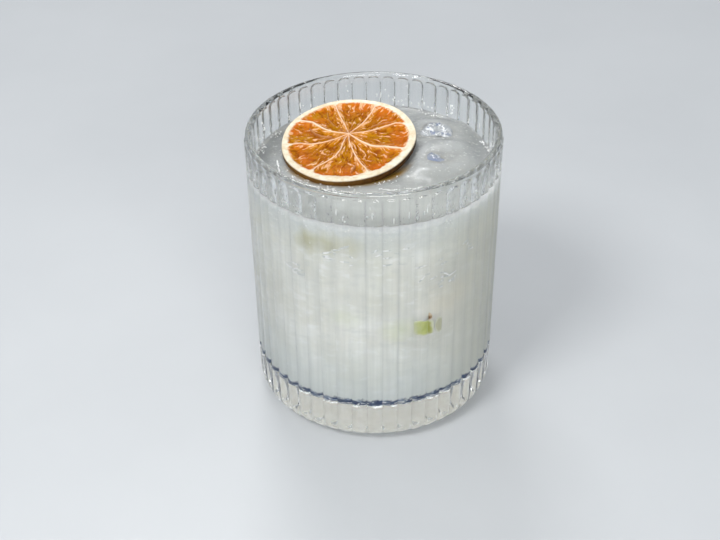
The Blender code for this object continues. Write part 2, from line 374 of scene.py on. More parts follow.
def value_ramp(tree, source, low, high, at_low, at_high):
    node = add_node(tree, "ShaderNodeMapRange")
    feed_all(tree, node, {
        "Value": source, "From Min": low, "From Max": high, "To Min": at_low, "To Max": at_high})
    return node.outputs["Result"]


def mix(tree, factor, first, second):
    """Mixes two colours. Each is a socket or an (r, g, b), and the factor a socket or a number."""
    node = add_node(tree, "ShaderNodeMix", data_type="RGBA")
    for index, given in ((0, factor), (6, first), (7, second)):
        feed(tree, node.inputs[index], given)
    return node.outputs[2]


def tint(tree, colour, source, low, high, at_low, at_high, tone):
    """Mixes a tone into a colour, with a share that runs along a value."""
    return mix(tree, value_ramp(tree, source, low, high, at_low, at_high), colour, tone)


def math_node(tree, operation, *given):
    node = add_node(tree, "ShaderNodeMath", operation=operation)
    for socket, value in zip(node.inputs, given):
        feed(tree, socket, value)
    return node.outputs["Value"]


def vector_node(tree, operation, *given):
    node = add_node(tree, "ShaderNodeVectorMath", operation=operation)
    for socket, value in zip(node.inputs, given):
        feed(tree, socket, value)
    return node.outputs["Value" if operation == "LENGTH" else "Vector"]


def attribute(tree, name):
    return add_node(tree, "ShaderNodeAttribute", attribute_name=name).outputs["Fac"]


def bump(tree, shader, height, distance, strength=0.5):
    node = add_node(tree, "ShaderNodeBump", Strength=strength, Distance=distance)
    tree.links.new(height, node.inputs["Height"])
    tree.links.new(node.outputs["Normal"], shader.inputs["Normal"])


def glass_material():
    """Clear glass with painted shade in fine upright streaks and at its grey groove bottoms, and a wet
    film over the drink.
    """
    mat, tree, shader = new_material("reeded_glass")
    # Painted shade: faint upright streaks in the clear glass, and grey at the groove bottoms and across
    # each reed.
    shade = grain(tree, 260.0, detail=2.0, stretch=(1, 1, 0.12))
    clear = ramp(tree, shade, [(0.35, (0.95, 0.97, 0.965)), (0.65, (0.995, 1.0, 0.995))])
    streaks = grain(tree, 900.0, detail=2.0, stretch=(1, 1, 0.02))
    clear = tint(tree, clear, streaks, 0.40, 0.60, 1.0, 0.0, (0.88, 0.90, 0.90))
    grey = ramp(tree, shade, [(0.35, (0.48, 0.51, 0.53)), (0.65, (0.74, 0.77, 0.78))])
    smears = grain(tree, 60.0, detail=4.0, stretch=(1, 1, 0.6))
    feed_all(tree, shader, {
        "Base Color": mix(tree, attribute(tree, "groove"), clear, grey),
        "Roughness": value_ramp(tree, smears, 0.5, 0.75, 0.0, 0.03),
        "Transmission Weight": 1.0,
        "IOR": 1.5,
    })
    flow = math_node(tree, "MULTIPLY", grain(tree, 190.0, detail=1.0, stretch=(1, 1, 0.2)), 0.25)
    wet = grain(tree, 1000.0, stretch=(1, 1, 0.5))
    bump(tree, shader, math_node(tree, "MULTIPLY_ADD", wet, attribute(tree, "film"), flow), 0.0009)
    return mat


def patch(tree, degrees, height, half_width, half_height):
    """1 in the middle of a soft patch on the drink's side, falling to 0 at its ragged edge."""
    ragged = noise_node(tree, 260.0).outputs["Color"]
    shifted = vector_node(tree, "MULTIPLY_ADD", ragged, (PATCH_WAVER,) * 3, object_place(tree))
    centre = wall_point(degrees, height, WALL_REACH) + Vector((PATCH_WAVER / 2,) * 3)
    away = vector_node(tree, "SUBTRACT", shifted, centre)
    scaled = vector_node(tree, "MULTIPLY", away, (1 / half_width, 1 / half_width, 1 / half_height))
    return value_ramp(tree, vector_node(tree, "LENGTH", scaled), 0.2, 1.1, 1.0, 0.0)


def wavered(tree, height, waver, amount):
    """A height made uneven by a noise, by up to half of an amount either way."""
    return math_node(tree, "ADD", height, math_node(tree, "MULTIPLY_ADD", waver, -amount, amount / 2))


def painted_corner_shade(tree, colour, height):
    """A painted shade line, slate blue, at the drink's bottom corner, with painted glints as bright flecks
    under it.
    """
    corner = grain(tree, 640.0, detail=4.0, roughness=0.65, stretch=(1, 1, 0.5))
    line = value_ramp(tree, wavered(tree, height, corner, 0.0044), *SHADE_LINE_TOP, 1.0, 0.0)
    broken = grain(tree, 520.0, offset=(1, 4, 2))
    slate = ramp(tree, broken, [
        (0.38, (0.025, 0.045, 0.12)), (0.54, (0.08, 0.12, 0.21)), (0.68, (0.48, 0.54, 0.64))])
    colour = mix(tree, line, colour, slate)
    glint_flecks = wavered(tree, height, grain(tree, 950.0, detail=2.0, offset=(6, 2, 0)), 0.0120)
    return tint(tree, colour, glint_flecks, *GLINT_FLECKS_TOP, 1.0, 0.0, (0.96, 0.97, 1.0))


def drink_body_material(name, glow=0.0):
    """Milky drink seen through the glass, with painted shade in streaks, in bands and in a line at its
    bottom corner.

    Its underside and the pockets round the ice glow faintly, in place of light that comes through
    the drink and the ice.
    """
    mat, tree, shader = new_material(name)
    x, _, z = axes(tree, object_place(tree))
    clouds = grain(tree, 60.0, detail=5.0, roughness=0.6, stretch=(1, 1, 1.5))
    colour = ramp(tree, clouds, [(0.3, (0.80, 0.80, 0.74)), (0.7, (0.93, 0.94, 0.92))])
    chips = grain(tree, 230.0, stretch=(1, 1, 2), offset=(3, 1, 2))
    colour = tint(tree, colour, chips, 0.56, 0.70, 0.0, 0.7, (0.97, 0.98, 0.98))
    colour = tint(tree, colour, chips, 0.34, 0.44, 0.35, 0.0, (0.72, 0.74, 0.72))
    # Painted shade in soft upright streaks.
    streaks = grain(tree, 420.0, detail=2.0, stretch=(1, 1, 0.08))
    colour = tint(tree, colour, streaks, 0.40, 0.60, 0.35, 0.0, (0.70, 0.71, 0.68))
    # Painted shade: darker and cooler towards the bottom, and duller on the right side.
    colour = tint(tree, colour, z, *LOW_SHADE_BAND, 0.65, 0.0, (0.68, 0.73, 0.73))
    colour = tint(tree, colour, x, *RIGHT_SHADE_SIDE, 0.0, 0.65, (0.66, 0.66, 0.58))
    # Painted shade near the top, made patchy by froth.
    froth = value_ramp(tree, grain(tree, 700.0, roughness=0.7), 0.44, 0.60, 1.0, 0.75)
    top_shade_share = math_node(tree, "MULTIPLY", value_ramp(tree, z, *TOP_SHADE_BAND, 0.0, 1.0), froth)
    colour = mix(tree, top_shade_share, colour, (0.60, 0.63, 0.635))
    for spot, share, tone in SIDE_PATCHES:
        colour = mix(tree, math_node(tree, "MULTIPLY", patch(tree, *spot), share), colour, tone)
    if glow:
        rays = grain(tree, 150.0, stretch=(1, 0.4, 1))
        warm = ramp(tree, rays, [(0.3, (0.78, 0.73, 0.62)), (0.7, (1.0, 0.98, 0.92))])
        feed_all(tree, shader, {"Emission Color": warm, "Emission Strength": glow})
    else:
        # A painted shade line with painted glints at the bottom corner.
        colour = painted_corner_shade(tree, colour, z)
    feed_all(tree, shader, {
        "Base Color": colour,
        "Roughness": 0.6,
        "Specular IOR Level": 0.0,
        "Subsurface Weight": 1.0,
        "Subsurface Radius": (1.0, 0.97, 0.90),
        "Subsurface Scale": 0.016,
    })
    return mat


def drink_surface_material():
    """The wet top of the drink, lighter towards the front, with a painted reflection and shadow of the
    rind right before the wheel.
    """
    mat, tree, shader = new_material("cloudy_drink_surface")
    clouds = grain(tree, 80.0, detail=5.0, offset=(7, 2, 0))
    colour = ramp(tree, clouds, [(0.32, (0.31, 0.325, 0.32)), (0.7, (0.42, 0.435, 0.44))])
    froth = grain(tree, 900.0, detail=2.0, roughness=0.7)
    colour = tint(tree, colour, froth, 0.60, 0.72, 0.0, 0.6, (0.80, 0.81, 0.80))
    away = vector_node(tree, "SUBTRACT", object_place(tree), WHEEL_CENTRE)
    _, y, _ = axes(tree, away)
    # Lighter towards the front.
    colour = tint(tree, colour, y, -0.040, -0.012, 0.75, 0.0, (0.47, 0.475, 0.445))
    reach = vector_node(tree, "LENGTH", vector_node(tree, "MULTIPLY", away, (1, 1, 0)))
    # Painted reflection and shadow of the rind on the drink, in a golden-brown band right before the
    # wheel.
    rind_reflection_and_shadow = value_ramp(tree, reach, WHEEL_RADIUS - 0.0002, WHEEL_RADIUS + 0.0016, 1.0, 0.0)
    before = value_ramp(tree, y, -0.015, -0.009, 1.0, 0.0)
    colour = mix(tree, math_node(tree, "MULTIPLY", rind_reflection_and_shadow, before), colour, (0.30, 0.18, 0.045))
    feed_all(tree, shader, {
        "Base Color": colour,
        "Roughness": 0.06,
        "IOR": 1.34,
        "Subsurface Weight": 1.0,
        "Subsurface Radius": (1.0, 0.95, 0.85),
        "Subsurface Scale": 0.006,
    })
    bump(tree, shader, grain(tree, 420.0, detail=4.0, roughness=0.6), 0.0004)
    return mat


def ice_material():
    """Melted ice in the drink's own tone, with painted highlights as bright wavy streaks and glints, and
    painted reflections as bluish streaks, where it stands out.
    """
    mat, tree, shader = new_material("wet_ice")
    haze = grain(tree, 160.0, detail=4.0)
    colour = ramp(tree, haze, [(0.3, (0.29, 0.31, 0.325)), (0.7, (0.40, 0.42, 0.435))])
    _, _, z = axes(tree, object_place(tree))
    waved = math_node(tree, "MULTIPLY_ADD", haze, 0.0040, z)
    bare = value_ramp(tree, waved, DRINK_LEVEL + 0.0036, DRINK_LEVEL + 0.0044, 0.0, 1.0)
    streaks = grain(tree, 430.0, detail=2.0, roughness=0.5, stretch=(0.7, 0.4, 1), offset=(2, 2, 0),
                    distortion=1.0)
    aside = math_node(tree, "ABSOLUTE", math_node(tree, "SUBTRACT", streaks, 0.565))
    glints = grain(tree, 800.0, detail=2.0, stretch=(1, 0.5, 1), offset=(5, 1, 0))
    # Painted reflections in dark bluish streaks; painted highlights in bright wavy lines and glints.
    for share, tone in (
        (value_ramp(tree, streaks, 0.46, 0.53, 0.9, 0.0), (0.15, 0.19, 0.31)),
        (value_ramp(tree, aside, 0.005, 0.018, 1.0, 0.0), (0.92, 0.94, 0.98)),
        (value_ramp(tree, glints, 0.57, 0.62, 0.0, 1.0), (0.94, 0.96, 0.99)),
    ):
        colour = mix(tree, math_node(tree, "MULTIPLY", bare, share), colour, tone)
    feed_all(tree, shader, {
        "Base Color": colour,
        "Roughness": 0.10,
        "IOR": 1.31,
        "Specular IOR Level": 0.35,
    })
    bump(tree, shader, streaks, 0.0009, 0.7)
    return mat


def flesh_colour(tree):
    """Dried flesh: gold and amber, with painted shade in its furrows, redder near the pith, with pale
    fibres and skins, painted highlights on its ridges and painted glints in bright specks.
    """
    deep, radial = attribute(tree, "deep"), attribute(tree, "radial")
    flesh = ramp(tree, deep, [
        (0.0, (0.56, 0.24, 0.045)),
        (0.35, (0.50, 0.205, 0.015)),
        (0.7, (0.425, 0.156, 0.005)),
        (1.0, (0.350, 0.120, 0.002)),
    ])
    gold = grain(tree, 140.0, offset=(5, 3, 0))
    flesh = tint(tree, flesh, gold, 0.50, 0.60, 0.0, 0.75, (0.39, 0.180, 0.004))
    blotches = grain(tree, 420.0, detail=4.0, roughness=0.65, offset=(0.3, 0.1, 0))
    flesh = tint(tree, flesh, blotches, 0.50, 0.62, 0.0, 0.75, (0.24, 0.056, 0.002))
    # Painted shade: darker in the furrows, where the relief is low.
    flesh = tint(tree, flesh, attribute(tree, "furrow"), 0.35, 0.9, 0.0, 0.85, (0.19, 0.042, 0.001))
    patches = value_ramp(tree, grain(tree, 210.0, offset=(1, 8, 0)), 0.44, 0.56, 0.1, 1.0)
    red_share = math_node(tree, "MULTIPLY", patches, value_ramp(tree, radial, 0.55, 0.95, 0.0, 0.85))
    flesh = mix(tree, red_share, flesh, (0.50, 0.120, 0.010))
    # Pale fibres and skins, partly a painted highlight on the ridges of the relief; the specks are painted
    # glints.
    pale_and_highlight_share = value_ramp(tree, attribute(tree, "fibre"), 0.46, 0.92, 0.0, 0.9)
    flesh = mix(tree, pale_and_highlight_share, flesh, (0.70, 0.40, 0.22))
    specks = value_ramp(tree, grain(tree, 1300.0, detail=2.0, roughness=0.7), 0.58, 0.66, 0.0, 0.8)
    return mix(tree, math_node(tree, "MULTIPLY", specks, pale_and_highlight_share), flesh, (0.88, 0.78, 0.70))


def wheel_material():
    mat, tree, shader = new_material("dried_citrus")
    pith, membrane = attribute(tree, "pith"), attribute(tree, "membrane")
    skins = mix(tree, membrane, flesh_colour(tree), (0.70, 0.43, 0.27))
    skins = tint(tree, skins, membrane, 0.65, 1.0, 0.0, 0.8, (0.84, 0.66, 0.51))
    cream = ramp(tree, grain(tree, 500.0), [(0.3, (0.64, 0.53, 0.36)), (0.7, (0.80, 0.75, 0.63))])
    peel = grain(tree, 600.0, stretch=(1, 1, 1.5))
    brown = ramp(tree, peel, [(0.3, (0.022, 0.009, 0.003)), (0.7, (0.10, 0.042, 0.010))])
    x, _, _ = axes(tree, object_place(tree))
    # Painted light: golden at the lit left of the rind.
    brown = tint(tree, brown, x, *LIT_RIND_LEFT, 0.55, 0.0, (0.24, 0.12, 0.030))
    feed_all(tree, shader, {
        "Base Color": mix(tree, attribute(tree, "rind"), mix(tree, pith, skins, cream), brown),
        "Roughness": value_ramp(tree, pith, 0.0, 1.0, 0.25, 0.62),
        "Specular IOR Level": 0.04,
    })
    bump(tree, shader, grain(tree, 1400.0), 0.00025)
    return mat


def lime_material():
    """Green pulp that fades into the drink, with a duller piece beside it and a brown-spotted tip."""
    mat, tree, shader = new_material("sunk_lime")
    pulp = grain(tree, 500.0, stretch=(1, 1, 0.4))
    colour = ramp(tree, pulp, [(0.3, (0.40, 0.46, 0.10)), (0.7, (0.60, 0.64, 0.24))])
    colour = mix(tree, attribute(tree, "tip"), colour, (0.78, 0.62, 0.42))
    colour = mix(tree, attribute(tree, "brown"), colour, (0.24, 0.11, 0.03))
    colour = mix(tree, attribute(tree, "dull"), colour, (0.42, 0.41, 0.22))
    colour = tint(tree, colour, attribute(tree, "right"), 0.0, 1.0, 0.0, 0.6, (0.40, 0.40, 0.045))
    colour = mix(tree, attribute(tree, "fade"), colour, (0.80, 0.81, 0.72))
    feed_all(tree, shader, {"Base Color": colour, "Roughness": 0.5, "Specular IOR Level": 0.0})
    return mat


def chip_material():
    """Clear slivers of ice in the drink's tone, with painted highlights as bright bands, and dull spots.
    """
    mat, tree, shader = new_material("sunk_ice_chips")
    haze = grain(tree, 330.0, roughness=0.6)
    aside = math_node(tree, "ABSOLUTE", math_node(tree, "SUBTRACT", haze, 0.5))
    # Painted highlights in the near-white bands.
    clear = ramp(tree, aside, [
        (0.0, (0.99, 0.99, 1.0)), (0.045, (0.95, 0.96, 0.97)), (0.060, (0.60, 0.63, 0.63)),
        (0.12, (0.74, 0.76, 0.74))])
    colour = mix(tree, attribute(tree, "fade"), clear, (0.80, 0.81, 0.77))
    feed_all(tree, shader, {"Base Color": colour, "Roughness": 0.3})
    bump(tree, shader, haze, 0.0004)
    return mat


def bubble_material(name, glow=0.0):
    mat, tree, shader = new_material(name)
    pale = grain(tree, 900.0, detail=1.0)
    colour = ramp(tree, pale, [(0.3, (0.86, 0.88, 0.87)), (0.7, (0.97, 0.98, 0.98))])
    feed_all(tree, shader, {"Base Color": colour, "Roughness": 0.1, "Specular IOR Level": 0.8})
    if glow:
        feed_all(tree, shader, {"Emission Color": colour, "Emission Strength": glow})
    return mat


def floor_material():
    mat, tree, shader = new_material("pale_floor")
    clouds = grain(tree, 9.0, detail=4.0)
    colour = ramp(tree, clouds, [(0.3, (0.46, 0.48, 0.50)), (0.7, (0.49, 0.51, 0.53))])
    feed_all(tree, shader, {"Base Color": colour, "Roughness": 0.45})
    return mat


# Tumbler

def reed_positions(points_per_reed=14):
    """Angles round the glass with each one's place across its reed, from -1 to 1 at the grooves.

    The points crowd towards the grooves, which are narrow.
    """
    steps = np.arange(points_per_reed) / points_per_reed * 2 - 1
    across = np.sin(steps * math.pi / 2)
    pitch = 2 * math.pi / REED_COUNT
    angles = np.concatenate([k * pitch + across * pitch / 2 for k in range(REED_COUNT)])
    return angles, np.tile(across, REED_COUNT)


def crest_radius(height):
    return FOOT_CREST_RADIUS + (RIM_CREST_RADIUS - FOOT_CREST_RADIUS) * height / HEIGHT - CREST_INSET


def heel_profile(broad, groove):
    """The rounded heel, in which the reeds begin and their groove bottoms grow narrow."""
    for share in np.linspace(0.06, 1.0, 14):
        turn = share * math.pi / 2
        depth = REED_DEPTH * min(1.0, 1.4 * share) * (broad + (groove - broad) * share ** 2)
        yield HEEL_CENTRE + HEEL_RADIUS * math.sin(turn) - depth, HEEL_RADIUS * (1 - math.cos(turn))


def wall_profile(spread, groove):
    """The reeded wall, and above it the reeds' arched tops, which fade into the lip's waist."""
    for height in np.linspace(HEEL_RADIUS, ARCH_START, 9)[1:]:
        yield crest_radius(height) - REED_DEPTH * groove, height
    arch = REED_TOP - REED_ARCH_DROP * spread ** 3
    for height in np.linspace(ARCH_START, LIP_BASE, 18)[1:-1]:
        below = np.clip((arch - height) / REED_FADE, 0.0, 1.0)
        fade = np.sqrt(1 - (1 - below) ** 2)
        full = crest_radius(height) - REED_DEPTH * groove
        yield LIP_WAIST + (full - LIP_WAIST) * fade, height


def inner_profile():
    """The lip, then the inside down the wall and round the corner to the floor."""
    for turn in np.linspace(0, math.pi, 15):
        yield RIM_INNER_RADIUS + LIP_HALF * (1 + math.cos(turn)), LIP_BASE + LIP_HALF * math.sin(turn)
    for height in np.linspace(LIP_BASE, WELL_CORNER_TOP, 8)[1:-1]:
        yield wall_radius(height), height
    for turn in np.linspace(0, math.pi / 2, 12):
        yield corner_place(turn)
    for share in (0.66, 0.33):
        yield WELL_CORNER_CENTRE * share, FLOOR_HEIGHT


def mark_glass(glass, verts, spread, ring_count, reeded):
    """Marks painted shade at the groove bottoms, each reed with its own strength, and softer across each
    reed; and marks the wet film over the drink.
    """
    random = np.random.default_rng(5)
    points_per_reed = len(spread) // REED_COUNT
    strength = np.repeat(random.uniform(0.15, 0.75, REED_COUNT), points_per_reed)
    strength = np.roll(strength, points_per_reed // 2)
    # Painted shade at the groove bottoms and, softer, across each reed.
    groove_shade = np.maximum(strength * smoothstep(0.80, 1.0, spread), 0.22 * spread ** 3)
    rows = [groove_shade * (k in reeded) for k in range(ring_count)]
    set_marks(glass, "groove", np.concatenate(rows + [np.zeros(2)]))
    inner = np.hypot(verts[:, 0], verts[:, 1]) < RIM_INNER_RADIUS + 0.0001
    film = inner * smoothstep(DRINK_LEVEL - 0.001, DRINK_LEVEL + 0.001, verts[:, 2])
    set_marks(glass, "film", film * (1 - smoothstep(*FILM_END, verts[:, 2])))


def build_glass(mat):
    angles, across = reed_positions()
    spread = np.abs(across)
    broad = spread ** 2.2
    groove = broad + GROOVE_NOTCH * np.clip((spread - 0.78) / 0.22, 0, 1) ** 1.5
    outside = [*UNDERSIDE, *heel_profile(broad, groove), *wall_profile(spread, groove)]
    reeded = range(len(UNDERSIDE) + 4, len(outside) - 6)
    rings = level_rings(angles, outside + list(inner_profile()))
    verts, faces = closed_loft(rings, (0, 0, PUNT_DEPTH), (0, 0, FLOOR_HEIGHT))
    glass = mesh_object("reeded_tumbler", verts, faces, [mat])
    mark_glass(glass, verts, spread, len(rings), reeded)
    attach(glass, "root")
    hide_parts("glass_tumbler")


# Ice

def ice_turn(turns):
    turn = Matrix.Rotation(math.radians(turns[2]), 4, "Z")
    turn = turn @ Matrix.Rotation(math.radians(turns[1]), 4, "Y")
    return turn @ Matrix.Rotation(math.radians(turns[0]), 4, "X")


def ice_points(name, cuts, wall_gap, grow=0.0, dimples=ICE_DIMPLES):
    """A melted cube in the place of an ice solid, with its surface dimpled finer than the solid's."""
    centre, half_sizes, turns, seed = ICE_LUMPS[name]
    place = Vector((seed, 2 * seed, 3 * seed))
    bm = bmesh.new()
    bmesh.ops.create_cube(bm, size=2.0)
    bmesh.ops.subdivide_edges(bm, edges=bm.edges, cuts=cuts, use_grid_fill=True)
    for vert in bm.verts:
        power = sum(abs(value) ** ICE_SQUARENESS for value in vert.co)
        unit = vert.co / power ** (1 / ICE_SQUARENESS)
        shaped = Vector([unit[k] * half_sizes[k] for k in range(3)])
        push = ICE_UNEVENNESS * noise.noise(shaped * 110.0 + place)
        push += dimples * noise.noise(shaped * 420.0 + place)
        vert.co = shaped + shaped.normalized() * (push + grow)
    bmesh.ops.recalc_face_normals(bm, faces=bm.faces)
    bm.transform(Matrix.Translation(centre) @ ice_turn(turns))
    for vert in bm.verts:
        reach = math.hypot(vert.co.x, vert.co.y)
        limit = wall_radius(vert.co.z) - wall_gap
        if reach > limit:
            vert.co.xy *= limit / reach
    return bm


def build_ice(name, mat):
    lump = object_from(ice_points(name, ICE_CUTS, ICE_WALL_GAP), "melted_" + name, [mat])
    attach(lump, "root")
    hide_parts(name)


def ice_distance(name, points):
    """Rough distance of points from an ice lump's surface, below zero inside it."""
    centre, half_sizes, turns, _ = ICE_LUMPS[name]
    local = (points - np.array(centre)) @ np.array(ice_turn(turns).to_3x3())
    scaled = np.abs(local) / np.array(half_sizes)
    level = (scaled ** ICE_SQUARENESS).sum(axis=1) ** (1 / ICE_SQUARENESS)
    return (level - 1) * np.linalg.norm(local, axis=1) / np.maximum(level, 1e-6)


# Drink

def noise_field(points, scale, offset):
    return np.array([noise.noise(Vector(p) * scale + Vector(offset)) for p in points])


def drink_side_profile():
    """The drink's underside and side, a little way into the glass."""
    for share in (0.35, 0.7):
        yield WELL_CORNER_CENTRE * share, FLOOR_HEIGHT - WALL_REACH
    for turn in np.linspace(math.pi / 2, 0, 12):
        yield corner_place(turn, WALL_REACH)
    for height in np.linspace(WELL_CORNER_TOP, DRINK_LEVEL + MENISCUS_RISE, 24)[1:]:
        yield wall_radius(height) + WALL_REACH, height


def drink_top_rings(angles):
    """The drink's uneven surface, which climbs the wall and the ice."""
    edge = wall_radius(DRINK_LEVEL + MENISCUS_RISE) + WALL_REACH
    climb_width, still_width, last_radius = 0.0026, 0.002, 0.001
    insets = np.concatenate([
        np.linspace(0, climb_width, 14)[1:],
        np.linspace(climb_width, edge - last_radius, 76)[1:],
    ])
    rings = []
    for inset in insets:
        ring = level_ring(angles, edge - inset, DRINK_LEVEL)
        settled = min(1.0, inset / still_width)
        ring[:, 2] += MENISCUS_RISE * np.exp(-inset / MENISCUS_FALL)
        ring[:, 2] += settled * 0.00026 * noise_field(ring, 130.0, (2, 5, 1))
        ring[:, 2] += settled * 0.00012 * noise_field(ring, 480.0, (4, 1, 9))
        for name in ICE_LUMPS:
            near = np.clip(ice_distance(name, ring), 0, None)
            ring[:, 2] += ICE_WETTING * np.exp(-(near / ICE_WETTING_REACH) ** 2)
        rings.append(ring)
    return rings


def cut_pocket(drink, name, looks):
    """Takes an ice lump's place out of the drink."""
    bm = ice_points(name, POCKET_CUTS, POCKET_WALL_GAP, grow=-POCKET_OVERLAP, dimples=0.0)
    cutter = object_from(bm, "pocket", looks)
    pocket_faces = np.full(len(cutter.data.polygons), POCKET_LOOK, np.int32)
    cutter.data.polygons.foreach_set("material_index", pocket_faces)
    cut = drink.modifiers.new("pocket", "BOOLEAN")
    cut.operation = "DIFFERENCE"
    cut.solver = "EXACT"
    cut.object = cutter
    bpy.context.view_layer.update()
    evaluated = drink.evaluated_get(bpy.context.evaluated_depsgraph_get())
    result = bpy.data.meshes.new_from_object(evaluated)
    drink.modifiers.clear()
    drink.data = result
    bpy.data.objects.remove(cutter)


def build_drink(looks):
    """The drink, with its looks in the order body, surface, underside and pockets."""
    angles = even_angles(DRINK_POINTS)
    side = level_rings(angles, drink_side_profile())
    rings = side + drink_top_rings(angles)
    verts, faces = closed_loft(rings, (0, 0, FLOOR_HEIGHT - WALL_REACH), (0, 0, DRINK_LEVEL))
    drink = mesh_object("cloudy_drink", verts, faces, looks)
    bands = np.zeros(len(faces), np.int32)
    last_quad = (len(rings) - 1) * DRINK_POINTS
    bands[(len(side) - 1) * DRINK_POINTS:last_quad] = SURFACE_LOOK
    bands[last_quad + DRINK_POINTS:] = SURFACE_LOOK
    bands[:4 * DRINK_POINTS] = UNDERSIDE_LOOK
    bands[last_quad:last_quad + DRINK_POINTS] = UNDERSIDE_LOOK
    drink.data.polygons.foreach_set("material_index", bands)
    for name in ICE_LUMPS:
        cut_pocket(drink, name, looks)
    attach(drink, "root")
    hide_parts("drink")


# Dried citrus wheel

def wheel_outline(angle):
    stretch = WHEEL_STRETCH * np.cos(2 * (angle - WHEEL_STRETCH_ANGLE))
    waver = 0.006 * np.sin(3 * angle + 0.7) + 0.004 * np.sin(7 * angle + 2.0)
    return WHEEL_RADIUS * (1 + stretch + waver)


def from_hub(angles, distance):
    return HUB_OFFSET[0] + distance * np.cos(angles), HUB_OFFSET[1] + distance * np.sin(angles)


def reach_from_hub(angles):
    """Distance from the hub to the rim along each angle, by halving."""
    low = np.zeros_like(angles)
    high = np.full_like(angles, 2 * WHEEL_RADIUS)
    for _ in range(30):
        middle = (low + high) / 2
        x, y = from_hub(angles, middle)
        inside = np.hypot(x, y) < wheel_outline(np.arctan2(y, x))
        low = np.where(inside, middle, low)
        high = np.where(inside, high, middle)
    return low


def course_angles(course, distance):
    """Angle of a membrane at each distance from the hub."""
    places = [place * 0.001 for place, _ in course]
    turns = [math.radians(degrees) for _, degrees in course]
    return np.interp(distance, places, turns)


def aside_from(course, angles, distance):
    """Distance of each point from a membrane, measured across it."""
    turn = (angles - course_angles(course, distance) + math.pi) % (2 * math.pi) - math.pi
    return np.where(np.abs(turn) < 1.2, np.abs(np.sin(turn)) * distance, 1.0)


class WheelSkin:
    """Rows of points round the hub with their marks, from the underside over the rind to the hub."""

    def __init__(self):
        self.angles = even_angles(WHEEL_SPOKES)
        self.rim = reach_from_hub(self.angles)
        front = (1 - np.sin(self.angles)) / 2
        width = PITH_WIDTH_BACK + (PITH_WIDTH_FRONT - PITH_WIDTH_BACK) * front
        width = width + PITH_WIDER_RIGHT * np.cos(self.angles)
        self.pith_width = width * (1 + 0.20 * self.waver(3, 4.0) + 0.10 * self.waver(14, 1.0))
        self.rows = []
        self.marks = {key: [] for key in ("pith", "membrane", "rind", "deep", "radial", "fibre", "furrow")}

    def waver(self, scale, level, bend=0.0):
        return np.array([ring_noise(scale, angle, level) for angle in self.angles + bend])

    def add(self, distance, height, **given):
        x, y = from_hub(self.angles, distance)
        self.rows.append(np.stack([x, y, np.broadcast_to(height, x.shape)], axis=1))
        for key, rows in self.marks.items():
            rows.append(np.broadcast_to(np.asarray(given.get(key, 0.0), float), x.shape))


def add_underside(skin):
    """The underside and the side, from the hub out and up."""
    sunk = -WHEEL_TOP + WHEEL_UNDER_SUNK
    skin.add(0.002, sunk, radial=0.1, deep=0.8)
    skin.add(0.5 * skin.rim, sunk, radial=0.5, deep=0.8)
    skin.add(skin.rim - skin.pith_width - 0.0005, sunk, radial=0.9)
    skin.add(skin.rim - skin.pith_width, -WHEEL_TOP + 0.00005, pith=1.0)
    skin.add(skin.rim - 0.0007, -WHEEL_TOP, pith=1.0)
    rind = skin.rim - 0.00005
    for share, inset in ((0.0, 0.00045), (0.12, 0.0002), (0.3, 0.00005), (0.5, 0.0), (0.68, 0.0)):
        rough = 0.0001 * skin.waver(60, 9 * share)
        skin.add(rind - inset + rough, -WHEEL_TOP + share * WHEEL_THICKNESS, rind=1.0)
    edge_rows = ((0.78, 0.0, 0.9), (0.85, 0.00003, 0.25), (0.91, 0.0001, 0.0), (0.97, 0.00025, 0.0))
    for share, inset, brown in edge_rows:
        skin.add(rind - inset, -WHEEL_TOP + share * WHEEL_THICKNESS, rind=brown, pith=1.0)


def add_pith_ring(skin):
    for share in np.linspace(0.22, 1.0, 8):
        height = WHEEL_TOP - 0.00015 - 0.0003 * share ** 3 + 0.00014 * skin.waver(26, 5 * share)
        skin.add(skin.rim - skin.pith_width * share - 0.0001, height, pith=1.0, radial=1.0)


def membrane_marks(angles, distance, share):
    """Each point's nearness to any membrane and to a thick one, and its distance from the nearest."""
    nearest = np.full_like(angles, 1.0)
    ridge = np.zeros_like(angles)
    thick = np.zeros_like(angles)
    for half_width, course in MEMBRANES:
        aside = aside_from(course, angles, distance)
        nearest = np.minimum(nearest, aside)
        width = half_width * (0.45 + 0.40 * min(1, share / 0.6))
        here = np.exp(-np.abs(aside / width) ** 3)
        ridge = np.maximum(ridge, here)
        if half_width > THICK_MEMBRANE:
            thick = np.maximum(thick, here)
    return ridge, thick, nearest


def fold_marks(angles, distance):
    fold = np.zeros_like(angles)
    for half_width, size, course in FOLDS:
        aside = aside_from(course, angles, distance)
        within = (distance > course[0][0] * 0.001) & (distance < course[-1][0] * 0.001)
        fold = np.maximum(fold, within * size * np.exp(-(aside / half_width) ** 2))
    return fold


